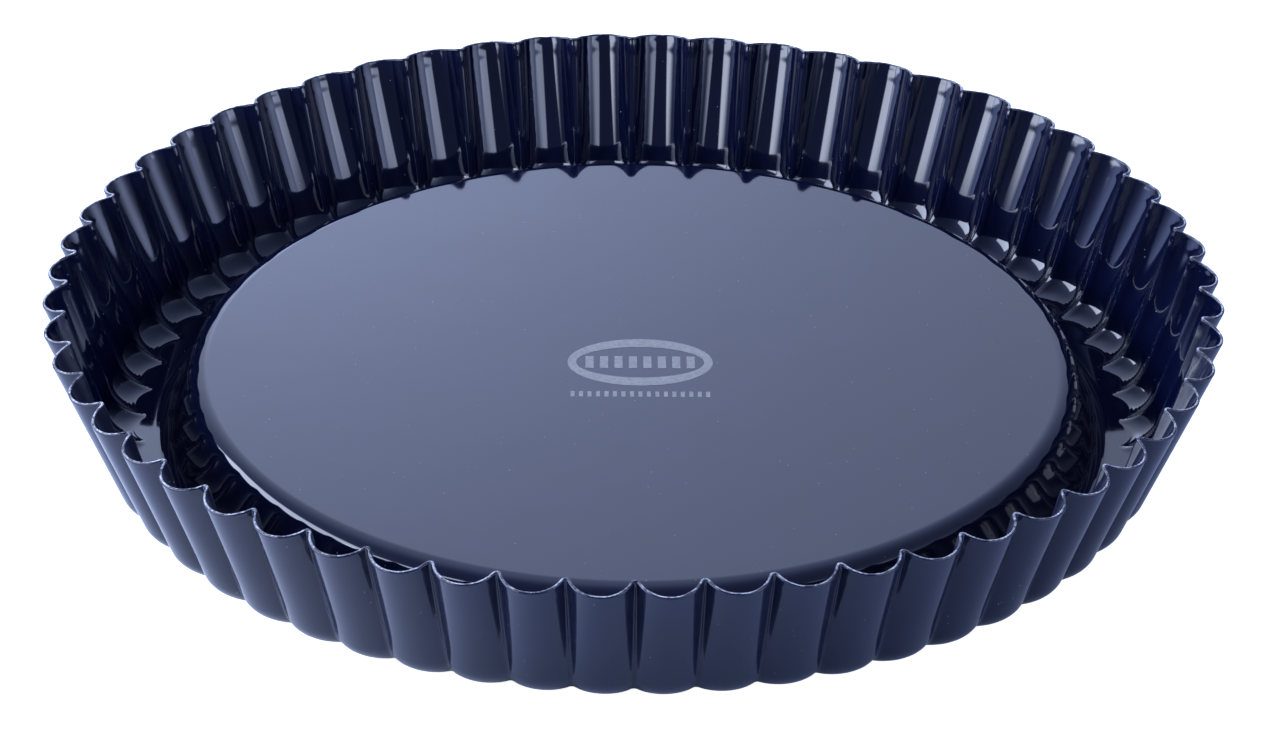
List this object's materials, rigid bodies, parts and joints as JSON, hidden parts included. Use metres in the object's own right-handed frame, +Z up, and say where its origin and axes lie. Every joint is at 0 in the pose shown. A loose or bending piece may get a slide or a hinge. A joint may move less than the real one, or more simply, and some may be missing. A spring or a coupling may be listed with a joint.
{
  "type": "tart pan",
  "caption": "Shallow round enamelled steel flan pan: flat raised centre, trough ring round it, steep fluted wall and a wavy cut rim.",
  "frame": {"origin": "centre of the plane the pan rests on", "axes": "+Z up along the pan's axis; a wall ridge lies on each of +X, -X, +Y and -Y"},
  "size_m": [0.2996, 0.2996, 0.04],
  "materials": {
    "sheet_steel": "pressed sheet, fully covered",
    "enamel_food_side": "high gloss, deep navy",
    "enamel_underside": "high gloss, deep navy",
    "enamel_rim": "gloss, thin and uneven on the cut edge",
    "fired_mark": "satin, pale blue-grey, fired on"
  },
  "bodies": {
    "root": {"steel_pan": "sheet_steel", "inner_enamel": "enamel_food_side", "outer_enamel": "enamel_underside", "rim_enamel": "enamel_rim", "centre_mark": "fired_mark"}
  },
  "joints": []
}
